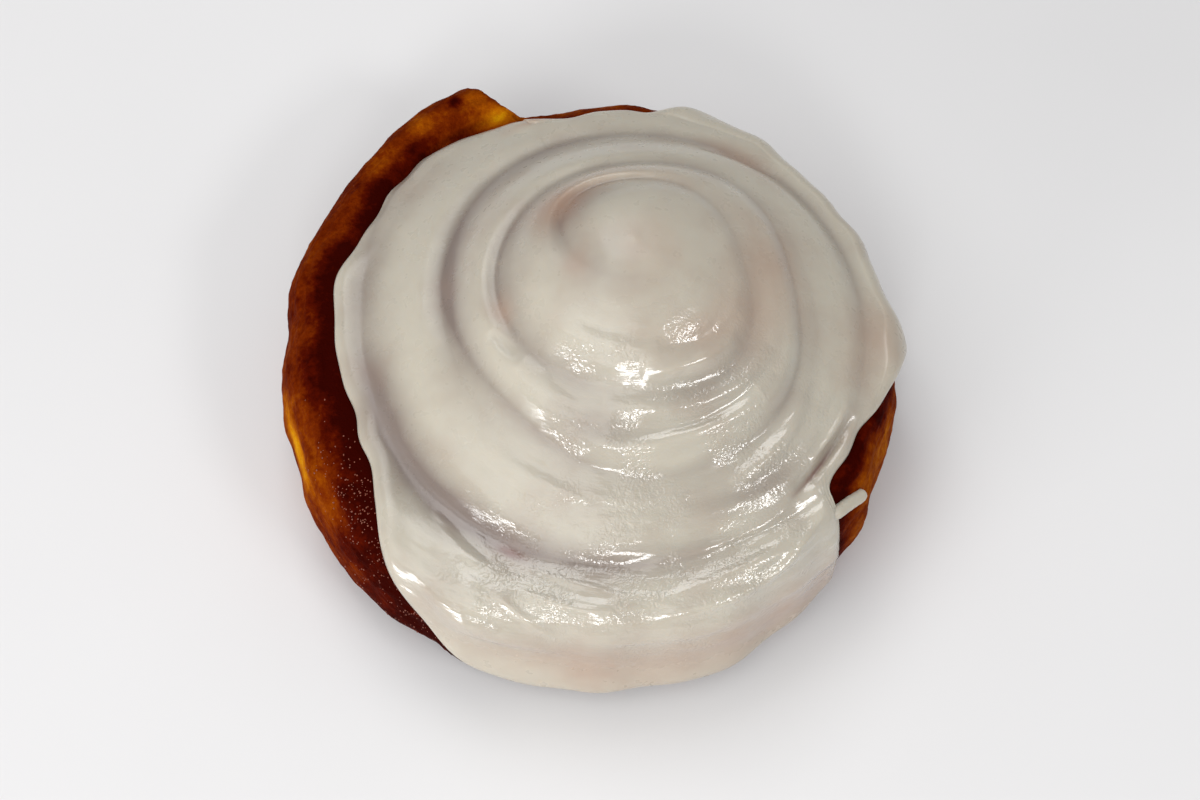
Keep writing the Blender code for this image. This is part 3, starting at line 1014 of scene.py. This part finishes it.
@dataclass(frozen=True)
class DoughCoil:
    """The baked coil, with its crust's relief and browning."""

    form: CoilForm
    edge: IcingEdge
    press: SwirlPress
    columns: Columns = Columns(step=1.0)
    top_rings: int = 56
    side_rings: int = 64
    foot_rings: int = 12
    base_rings: int = 8
    relief: SkinRelief = SkinRelief(broad_depth=1.5, broad_size=6.5, fine_depth=0.5, fine_size=1.6, seed=3)
    # The relief's marks are this many times longer than wide
    stretch: float = 1.8
    # It fades in below the icing's edge between these distances, and over this climb at the foot
    bare_from: tuple[float, float] = (0.2, 2.5)
    bare_foot: float = 2.0
    # How dark the crust is baked every 30 degrees round from the strip's end: beside the icing,
    # across the strip's middle, and on its side
    bake_step: float = 30.0
    bakes: tuple = (
        (0.55, 0.90, 1.00, 1.00, 1.00, 0.95, 0.80, 0.90, 0.75, 0.60, 0.55, 0.62, 0.62),
        (0.48, 0.60, 0.76, 0.80, 1.00, 0.95, 0.60, 0.50, 0.55, 0.55, 0.55, 0.50, 0.50),
        (0.60, 0.62, 0.62, 0.54, 0.92, 0.90, 0.60, 0.45, 0.50, 0.55, 0.60, 0.60, 0.60),
    )
    # Distances below the icing where the three bakes hold
    bake_depths: tuple[float, float, float] = (1.5, 5.5, 11.0)
    # Darker and paler places: azimuth, reach, half lengths and strength
    bake_spots: tuple = (
        (200.0, 74.0, 10.0, 2.6, -0.6),
        (119.5, 53.0, 3.0, 2.2, -0.5),
        (124.5, 60.4, 1.3, 1.2, 0.5),
        (130.0, 62.0, 14.0, 5.0, -0.06),
        (315.0, 52.0, 4.0, 3.5, 0.4),
        (324.0, 52.5, 5.0, 3.0, 0.1),
        (330.0, 57.3, 8.0, 4.0, -0.12),
    )
    # Bare crust that sugar grains stick to: azimuth, reach, half lengths and strength
    grain_spots: tuple = ((222.0, 61.7, 13.0, 6.0, 0.8), (234.0, 74.7, 12.0, 9.0, 0.3))
    # They thicken over this distance below the icing
    grains_over: float = 1.0

    def rings(self) -> Numbers:
        """Places of the rings along a half section, without its two ends."""
        side_end = self.form.top_share + self.form.side_share
        marks_at = (0.0, self.form.top_share, side_end, side_end + self.form.foot_share, 1.0)
        counts = (self.top_rings, self.side_rings, self.foot_rings, self.base_rings)
        parts = [
            np.linspace(start, end, count, endpoint=False)
            for start, end, count in zip(marks_at, marks_at[1:], counts)
        ]
        return np.concatenate(parts)[1:]

    def build(self, material: Finish) -> Piece:
        """Make the coil.

        Args:
            material: the crust.

        Returns:
            The piece.
        """
        azimuths, rings = self.columns.azimuths(), self.rings()
        place, azimuth = np.meshgrid(rings, azimuths, indexing="ij")
        place = np.concatenate([[0.0], place.ravel(), [1.0]])
        azimuth = np.concatenate([[0.0], azimuth.ravel(), [0.0]])
        section = self.form.section(azimuth, place)
        below = np.maximum(-self.edge.above(section), 0.0)
        grains = section.spots(self.grain_spots)
        values = {
            **self.press.values(section, self.stretch),
            "settled": np.zeros_like(azimuth),
            "relief": smooth_step(*self.bare_from, below) * smooth_step(0.0, self.bare_foot, section.climb),
            "bake": self.browning(section, below),
            "grains": grains * smooth_step(0.0, self.grains_over, below),
        }
        points = points_at(azimuth, section.radius, section.height)
        coil = new_piece("dough_coil", points, ring_faces(len(rings), len(azimuths)), values)
        self.press.press(coil, material)
        self.relief.raise_on(coil, material)
        return coil

    def browning(self, section: Section, below: Numbers) -> Numbers:
        """How dark each point is baked, from 0 to 1.

        Args:
            section: the points.
            below: their distance below the icing's edge.

        Returns:
            The browning.
        """
        place = self.form.unrolled(section.azimuth) / self.bake_step
        by_icing, middle, side = [spline(bake, place) for bake in self.bakes]
        first, second, third = self.bake_depths
        dark = by_icing + (middle - by_icing) * smooth_step(first, second, below)
        dark = dark + (side - middle) * smooth_step(second, third, below)
        return np.clip(dark + section.spots(self.bake_spots), 0.0, 1.0)


@dataclass(frozen=True)
class IcingCoat:
    """The icing: a closed skin over the coil's top and down its front."""

    form: CoilForm
    edge: IcingEdge
    press: SwirlPress
    columns: Columns = Columns(step=0.85)
    outer_rings: int = 156
    inner_rings: int = 18
    # Share of the rings that are evenly spaced on the top, and of the top that they cover
    core_rings: float = 0.62
    core_share: float = 0.86
    on_crests: float = 1.3
    lip: float = 2.6
    bead: float = 0.5
    least_height: float = 0.3
    # The icing bridges the step at the strip's end over these degrees, within these radii
    bridge_over: float = 9.0
    bridge_within: tuple[float, float] = (48.0, 56.0)
    # Distances within the edge between which the icing's own shallower grooves take over
    settle_within: tuple[float, float] = (-1.0, 4.0)
    # Extra thickness where icing pooled: azimuth, reach, half lengths, and how much
    pools: tuple = ((353.0, 49.0, 6.0, 6.0, 0.8), (262.0, 81.3, 30.0, 5.0, 0.5), (243.0, 67.0, 9.0, 5.0, 0.9))
    # Ridges and creases of the skin: azimuth and reach at both ends, height and half width
    ridges: tuple = (
        ((254.0, 31.8), (322.0, 30.8), 1.1, 1.5),
        ((258.0, 26.2), (328.0, 27.0), 1.1, 1.5),
        ((272.0, 21.0), (322.0, 22.4), 1.0, 1.2),
        ((294.0, 39.6), (326.0, 36.4), 0.9, 1.3),
        ((268.0, 50.2), (306.0, 46.6), 0.8, 0.9),
        ((276.0, 55.6), (300.0, 52.4), 0.6, 1.0),
        ((274.0, 59.6), (304.0, 55.6), 0.6, 1.0),
        ((293.0, 57.6), (311.0, 50.6), 0.6, 0.9),
        ((228.0, 52.4), (246.0, 57.4), 0.2, 1.2),
        ((237.0, 51.6), (246.0, 54.8), 0.2, 0.8),
        ((246.0, 59.4), (257.0, 65.2), 0.5, 0.8),
        ((250.0, 57.6), (264.0, 59.0), 0.4, 0.7),
        ((250.0, 53.4), (266.0, 54.6), 0.4, 0.7),
        ((232.0, 64.0), (252.0, 67.5), 0.4, 2.4),
        ((307.0, 45.9), (330.0, 43.8), -1.6, 1.0),
        ((314.0, 43.6), (332.0, 42.2), 0.5, 0.5),
        ((44.0, 37.0), (68.0, 32.4), -0.6, 1.0),
        ((205.0, 26.8), (218.0, 25.4), -0.5, 0.8),
    )
    relief: SkinRelief = SkinRelief(broad_depth=1.7, broad_size=17.0, fine_depth=0.4, fine_size=5.0, seed=8)
    # Wrinkles are this many times longer than wide, and fade in within these distances of the edge
    stretch: float = 4.0
    relief_within: tuple[float, float] = (0.3, 2.5)
    # Where the skin wrinkled: middle azimuth, half width in degrees, and what it is elsewhere
    wrinkled_at: float = 282.0
    wrinkled_over: float = 64.0
    smooth_share: float = 0.06
    # Places where it crinkled more: azimuth, reach, half lengths and how much
    crinkled_spots: tuple = ((240.0, 65.0, 9.0, 4.5, 0.9),)
    # It is smooth near the apex, within these radii, and again down the front, between these reaches
    smooth_apex: tuple[float, float] = (9.0, 18.0)
    smooth_below: tuple[float, float] = (77.0, 67.0)
    # Thin places that show the dough, at most this much: azimuth, reach, half lengths and strength
    most_thin: float = 0.8
    thin_spots: tuple = (
        (0.0, 0.0, 9.0, 9.0, 0.3),
        (142.0, 16.5, 6.0, 4.0, 0.55),
        (95.0, 17.5, 12.0, 3.0, 0.35),
        (200.0, 10.5, 3.0, 2.5, 0.35),
        (199.7, 23.8, 3.0, 2.0, 0.5),
        (312.0, 18.5, 8.0, 4.0, 0.4),
        (352.0, 23.5, 14.0, 6.0, 0.5),
        (298.0, 70.0, 16.0, 7.0, 0.65),
        (268.0, 74.0, 24.0, 8.0, 0.5),
        (350.0, 42.7, 10.0, 5.0, 0.35),
        (56.0, 35.5, 10.0, 3.0, 0.4),
        (110.0, 44.6, 9.0, 1.6, 0.6),
    )
    # Painted shade: greyer places where the skin lies over a hollow or turns away from the light: azimuth,
    # reach, half lengths and strength
    painted_shade_spots: tuple = (
        (172.0, 49.5, 18.0, 3.4, 0.45),
        (203.0, 47.5, 12.0, 3.6, 0.5),
        (230.0, 49.6, 15.0, 2.6, 0.5),
        (140.0, 15.5, 6.0, 3.5, 0.5),
        (210.0, 5.0, 5.0, 5.0, 0.3),
        (170.0, 33.0, 12.0, 2.2, 0.25),
        (266.0, 49.5, 16.0, 3.0, 0.4),
        (258.0, 30.0, 8.0, 2.8, 0.5),
        (300.0, 42.5, 10.0, 2.4, 0.6),
        (268.0, 70.0, 30.0, 5.0, 0.35),
        (165.0, 18.0, 12.0, 8.0, 0.25),
        (190.0, 29.0, 10.0, 4.0, 0.2),
        (125.0, 33.0, 10.0, 3.0, 0.2),
    )
    # A gap in the icing at the bottom of a groove, where crust shows
    bare_spots: tuple = ((245.5, 51.7, 2.4, 0.9, 1.0),)
    # Painted shade along a narrow cleft beside the bare patch, in the bare crust's colour, one stroke narrow
    # and dark, one wide and faint: azimuth and reach at both ends, strength, half width
    cleft_shade_strokes: tuple = (
        ((305.0, 46.3), (322.0, 44.6), 0.7, 0.4),
        ((310.0, 46.0), (334.0, 43.6), 0.16, 1.3),
    )

    def core_places(self, azimuths: Numbers) -> Numbers:
        """Place where the evenly spaced rings of the top end and the edge's own rings start."""
        widest, rounding = self.form.outline(azimuths)
        shoulder = widest - rounding
        edge_radius = np.minimum(self.edge.reach(azimuths), shoulder)
        return self.form.top_share * self.core_share * edge_radius / shoulder

    def face(self, steps: Numbers, azimuths: Numbers) -> tuple[Numbers, Numbers]:
        """Azimuth and place of one face's points, ring by ring.

        Args:
            steps: of its rings, from the apex at 0 to the edge at 1.
            azimuths: of the columns.

        Returns:
            Both, joined end to end.
        """
        core = np.minimum(steps / self.core_rings, 1.0)[:, None]
        outer = np.clip((steps - self.core_rings) / (1.0 - self.core_rings), 0.0, 1.0)[:, None]
        core_places = self.core_places(azimuths)
        edge_places = self.form.place_of(azimuths, self.edge.climb(azimuths))
        place = core * core_places + outer * (edge_places - core_places)
        return np.broadcast_to(azimuths, place.shape).ravel(), place.ravel()

    def thickness(self, section: Section, within: Numbers) -> Numbers:
        """How thick the icing is at each point within its edge."""
        lip = np.clip(within / self.lip, 0.0, 1.0)
        bead = self.bead * np.exp(-(((within - self.lip) / self.lip) ** 2))
        pooled = section.spots(self.pools)
        ridged = section.strokes(self.ridges)
        return (self.on_crests + bead + pooled + ridged) * np.sqrt(1.0 - (1.0 - lip) ** 2)

    def bridging(self, section: Section, within: Numbers) -> Numbers:
        """How much of the way the icing rises off the dough by the strip's end, to the smooth mound."""
        ahead = angle_between(section.azimuth, self.form.end_azimuth)
        near = np.exp(-((np.minimum(ahead, 0.0) / self.bridge_over) ** 2))
        near = near * (ahead < self.form.end_degrees[-1])
        near = near * (1.0 - smooth_step(*self.bridge_within, section.radius))
        return near * smooth_step(0.0, self.lip, within)

    def wrinkling(self, section: Section, within: Numbers) -> Numbers:
        """How much the skin is wrinkled at each point within its edge."""
        aside = np.abs(angle_between(section.azimuth, self.wrinkled_at))
        front = np.clip(1.0 - aside / self.wrinkled_over, 0.0, 1.0)
        wrinkled = self.smooth_share + (1.0 - self.smooth_share) * smooth_step(0.0, HALF, front)
        wrinkled = wrinkled * smooth_step(*self.smooth_apex, section.radius)
        wrinkled = wrinkled * smooth_step(*self.smooth_below, section.reach)
        wrinkled = wrinkled + section.spots(self.crinkled_spots)
        return wrinkled * smooth_step(*self.relief_within, within)

    def build(self, material: Finish) -> Piece:
        """Make the coat.

        Args:
            material: the icing.

        Returns:
            The piece.
        """
        azimuths = self.columns.azimuths()
        # Only the outer face has a ring on the edge itself, and the inner one runs back up
        outwards = np.linspace(0.0, 1.0, self.outer_rings + 1)[1:]
        inwards = np.linspace(0.0, 1.0, self.inner_rings + 1)[-2:0:-1]
        azimuth, place = self.face(np.concatenate([outwards, inwards]), azimuths)
        azimuth = np.concatenate([[0.0], azimuth, [0.0]])
        place = np.concatenate([[0.0], place, [0.0]])
        inner = np.arange(len(place)) > self.outer_rings * len(azimuths)
        section = self.form.section(azimuth, place)
        within = np.maximum(self.edge.above(section), 0.0)
        thickness = self.thickness(section, within)
        stand_off = np.where(inner, ShellFace.INNER.value, ShellFace.OUTER.value + thickness)
        bridged = np.where(inner, 0.0, self.bridging(section, within))
        steep, level = self.form.mound_normal(section.radius)
        out, up = self.form.normal(azimuth, place)
        out, up = out + (steep - out) * bridged, up + (level - up) * bridged
        gap = np.maximum(self.form.mound(section.radius) - section.height, 0.0)
        height = np.maximum(section.height + gap * bridged + up * stand_off, self.least_height)
        # Bare crust in a gap, plus painted shade along the cleft
        bare = section.spots(self.bare_spots) + section.strokes(self.cleft_shade_strokes)
        values = {
            **self.press.values(section, self.stretch),
            "settled": np.where(inner, 0.0, smooth_step(*self.settle_within, within)),
            "relief": np.where(inner, 0.0, self.wrinkling(section, within)),
            # Painted shade over hollows and on faces turned from the light
            "painted_shade": section.spots(self.painted_shade_spots),
            "thin": np.clip(section.spots(self.thin_spots), 0.0, self.most_thin),
            "bare": np.clip(bare, 0.0, 1.0),
        }
        points = points_at(azimuth, section.radius + out * stand_off, height)
        faces = ring_faces(self.outer_rings + self.inner_rings - 1, len(azimuths))
        coat = new_piece("icing_coat", points, faces, values)
        self.press.press(coat, material)
        self.relief.raise_on(coat, material)
        return coat


@dataclass(frozen=True)
class IcingDrip:
    """The run of icing that crosses the bare patch, a bead drawn along a path on the crust."""

    form: CoilForm
    start: tuple[float, float] = (307.5, 28.2)  # azimuth and climb
    end: tuple[float, float] = (320.5, 22.6)
    radius: float = 1.25
    # Wider where it leaves the icing
    flare: float = 1.5
    flare_over: float = 0.38
    # Height of its middle over the crust: at its start, hidden in the icing, and along the rest
    stand_offs: tuple[float, float] = (-1.2, 0.45)
    path_points: int = 40
    # Share of the way where its tip starts to round off, and the share of its radius left at the tip
    round_from: float = 0.88
    tip: float = 0.03
    segments: int = 20
    # Part of a half section in which its path is looked for, and in how many steps
    path_places: tuple[float, float] = (0.4, 0.85)
    path_steps: int = 400

    def path(self) -> Numbers:
        """Points of the drip's middle line, from under the icing's edge to its tip."""
        share = np.linspace(0.0, 1.0, self.path_points)
        azimuth = self.start[0] + (self.end[0] - self.start[0]) * share
        climb = self.start[1] + (self.end[1] - self.start[1]) * share
        stand_off = np.interp(share, (0.0, self.flare_over), self.stand_offs)
        places = np.linspace(*self.path_places, self.path_steps)
        climbs = self.form.section(*np.meshgrid(azimuth, places, indexing="ij")).climb
        place = places[np.argmin(np.abs(climbs - climb[:, None]), axis=1)]
        section = self.form.section(azimuth, place)
        out, up = self.form.normal(azimuth, place)
        return points_at(azimuth, section.radius + out * stand_off, section.height + up * stand_off)

    def draw(self, add: Callable, given: Sockets) -> Node:
        """Draw a round bead along a path, and round off its tip.

        Args:
            add: adds a node to the tree.
            given: the tree's named inputs.

        Returns:
            The node that makes the shape.
        """
        line = add("GeometryNodeMeshToCurve", {"Mesh": given["Geometry"]})
        along = add("GeometryNodeSplineParameter").outputs["Factor"]
        past = add(MATH, (along, given["Round from"]), operation="SUBTRACT")
        left = add(MATH, (1.0, given["Round from"]), operation="SUBTRACT")
        into_tip = add(MATH, (past, left), operation="DIVIDE", use_clamp=True)
        square = add(MATH, (into_tip, into_tip), operation="MULTIPLY")
        falls = add(MATH, (1.0, square), operation="SUBTRACT")
        root = add(MATH, (falls,), operation="SQRT")
        taper = add(MATH, (root, given["Tip"]), operation="MAXIMUM")
        inputs = (along, 0.0, given["Flare over"], given["Flare"], 1.0)
        flare = add(MAP_RANGE, inputs, interpolation_type="SMOOTHSTEP")
        scale = add(MATH, (taper, flare), operation="MULTIPLY")
        inputs = {"Resolution": given["Segments"], "Radius": given["Radius"]}
        ring = add("GeometryNodeCurvePrimitiveCircle", inputs)
        inputs = {"Curve": line, "Profile Curve": ring, "Scale": scale, "Fill Caps": True}
        return add("GeometryNodeCurveToMesh", inputs)

    def build(self, material: Finish) -> Piece:
        """Make the drip from its path.

        Args:
            material: the icing.

        Returns:
            The piece.
        """
        points = self.path()
        drip = new_piece("icing_drip", points, [(i, i + 1) for i in range(len(points) - 1)], {})
        values = {
            "Radius": self.radius * MM,
            "Flare": self.flare,
            "Flare over": self.flare_over,
            "Round from": self.round_from,
            "Tip": self.tip,
            "Segments": self.segments,
            "Material": material,
        }
        shape_with(drip, "drawn_bead", values, self.draw)
        return drip


@dataclass(frozen=True)
class SugarGrains:
    """Grains of melted sugar strewn over the crust beside the icing."""

    per_square_mm: float = 2.6
    size: float = 0.13
    smallest: float = 0.5
    largest: float = 1.5
    seed: int = 12

    def draw(self, add: Callable, given: Sockets) -> Node:
        """Strew grains where the crust's value grains allows.

        Args:
            add: adds a node to the tree.
            given: the tree's named inputs.

        Returns:
            The node that makes the shape.
        """
        allowed = add(NAMED_VALUE, {"Name": "grains"}, data_type="FLOAT").outputs["Attribute"]
        density = add(MATH, (allowed, given["Density"]), operation="MULTIPLY")
        inputs = {"Mesh": given["Geometry"], "Density": density, "Seed": given["Seed"]}
        strewn = add("GeometryNodeDistributePointsOnFaces", inputs).outputs
        inputs = {"Radius": given["Grain size"], "Subdivisions": 1}
        grain = add("GeometryNodeMeshIcoSphere", inputs).outputs["Mesh"]
        inputs = {2: given["Smallest"], 3: given["Largest"], "Seed": given["Seed"]}
        size = add("FunctionNodeRandomValue", inputs, data_type="FLOAT").outputs[1]
        placed = {name: strewn[name] for name in ("Points", "Rotation")}
        return add("GeometryNodeInstanceOnPoints", {**placed, "Instance": grain, "Scale": size})

    def build(self, coil: Piece, material: Finish) -> Piece:
        """Strew the grains over a copy of the coil, of which only they are kept.

        Args:
            coil: the finished dough coil.
            material: the grains' finish.

        Returns:
            The piece.
        """
        grains = new_object("sugar_grains", coil.data.copy())
        values = {
            "Density": self.per_square_mm / MM**2,
            "Grain size": self.size * MM,
            "Smallest": self.smallest,
            "Largest": self.largest,
            "Seed": self.seed,
            "Material": material,
        }
        shape_with(grains, "strewn_grains", values, self.draw)
        return grains


@dataclass(frozen=True)
class Placement:
    """Moves every piece from the coil's axis to the middle of the solids' box."""

    shift: Vector
    scale: float

    @classmethod
    def into_box(cls, pieces: list[Piece], low: Vector, high: Vector) -> "Placement":
        """Work out the place of the pieces in a box.

        Args:
            pieces: what has to fit.
            low: the box's lowest corner.
            high: its highest corner.

        Returns:
            The placement: centred, on the floor, and at most as large as the box.
        """
        corners = np.concatenate([[vertex.co[:] for vertex in piece.data.vertices] for piece in pieces])
        least, most = corners.min(axis=0), corners.max(axis=0)
        sizes = np.array(high - low) / (most - least)
        middle = (least + most) / 2.0
        return cls(Vector((-middle[0], -middle[1], -least[2])), min(1.0, float(sizes.min())))

    def place(self, piece: Piece) -> None:
        """Move a piece's own mesh."""
        for vertex in piece.data.vertices:
            vertex.co = self.point(vertex.co)

    def point(self, at: Vector) -> Vector:
        """Where a point that is given from the coil's axis ends up."""
        return (at + self.shift) * self.scale


def towards(azimuth: float, elevation: float) -> Vector:
    """Direction from the bun to a lamp or a camera."""
    turn, rise = math.radians(azimuth), math.radians(elevation)
    level = math.cos(rise)
    return Vector((math.cos(turn) * level, math.sin(turn) * level, math.sin(rise)))


@dataclass(frozen=True)
class Lamp:
    """A soft rectangular studio lamp that faces the bun, its sizes in metres and power in watts."""

    name: str
    azimuth: float
    elevation: float
    distance: float
    width: float
    height: float
    power: float

    def build(self) -> None:
        """Hang the lamp."""
        light = bpy.data.lights.new(self.name, "AREA")
        light.shape = "RECTANGLE"
        light.size = self.width
        light.size_y = self.height
        light.energy = self.power
        away = towards(self.azimuth, self.elevation)
        lamp = new_object(self.name, light)
        lamp.location = away * self.distance
        lamp.rotation_euler = away.to_track_quat("Z", "Y").to_euler()


@dataclass(frozen=True)
class Studio:
    """A pale board, soft lamps, and a camera that looks down on the bun from its front."""

    azimuth: float = -90.0
    elevation: float = 61.0
    distance: float = 400.0
    pixels_per_mm: float = 5.55
    target: tuple[float, float, float] = (-6.0, -13.2, 20.0)
    picture_width: float = 1200.0
    sensor: float = 36.0
    board_size: float = 3.0
    ambient: float = 0.43
    ambient_colour: str = "#F3F4F6"
    lamps: tuple = (
        Lamp("left_window", -133.0, 12.0, 0.9, 0.42, 0.24, 4.0),
        Lamp("front_window", -95.0, 36.0, 0.9, 0.22, 0.15, 1.5),
        Lamp("right_window", -42.0, 38.0, 0.9, 0.24, 0.15, 1.6),
        Lamp("soft_key", -145.0, 58.0, 1.0, 0.90, 0.70, 2.45),
        Lamp("back_panel", 112.0, 62.0, 0.75, 0.40, 0.40, 1.55),
    )

    def build(self, placement: Placement, material: Finish) -> None:
        """Set up the floor, the light and the camera.

        Args:
            placement: where the coil's axis went.
            material: the board.
        """
        half = self.board_size / 2.0 / MM
        corners = np.array([(-half, -half, 0.0), (half, -half, 0.0), (half, half, 0.0), (-half, half, 0.0)])
        board = new_piece("pale_board", corners, [(0, 1, 2, 3)], {})
        board.data.materials.append(material)
        for lamp in self.lamps:
            lamp.build()
        scene = bpy.context.scene
        scene.world = bpy.data.worlds.new("soft_room")
        scene.world.use_nodes = True
        background = scene.world.node_tree.nodes["Background"]
        feed(background, {"Color": linear_colour(self.ambient_colour), "Strength": self.ambient})
        scene.view_settings.view_transform = "Standard"

        lens = bpy.data.cameras.new("camera")
        lens.sensor_width = self.sensor
        lens.lens = self.pixels_per_mm * self.distance / self.picture_width * self.sensor
        away = towards(self.azimuth, self.elevation)
        camera = new_object("camera", lens)
        camera.location = placement.point(Vector(self.target) * MM) + away * (self.distance * MM)
        camera.rotation_euler = away.to_track_quat("Z", "Y").to_euler()
        scene.camera = camera


def report(piece: Piece) -> None:
    """Log a piece's size and its number of triangles."""
    triangles = sum(len(face.vertices) - 2 for face in piece.data.polygons)
    LOG.info("%s: %.1f x %.1f x %.1f mm, %d triangles", piece.name, *(piece.dimensions / MM), triangles)


def main() -> None:
    """Build the bun and its studio."""
    logging.basicConfig(level=logging.INFO, format="%(message)s")
    form = CoilForm()
    edge = IcingEdge(form)
    press = SwirlPress(form)
    icing = SugarIcing().make()
    coil = DoughCoil(form, edge, press).build(BakedCrust().make())
    coat = IcingCoat(form, edge, press).build(icing)
    drip = IcingDrip(form).build(icing)
    grains = SugarGrains().build(coil, SUGAR_CRYSTAL.make())
    pieces = [coil, coat, drip, grains]
    placement = Placement.into_box(pieces, *CAD_BOX)
    for piece in pieces:
        placement.place(piece)
        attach(piece, "root")
        report(piece)
    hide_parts("bun")
    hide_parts("icing")
    Studio().build(placement, PALE_BOARD.make())


if __name__ == "__main__":
    main()
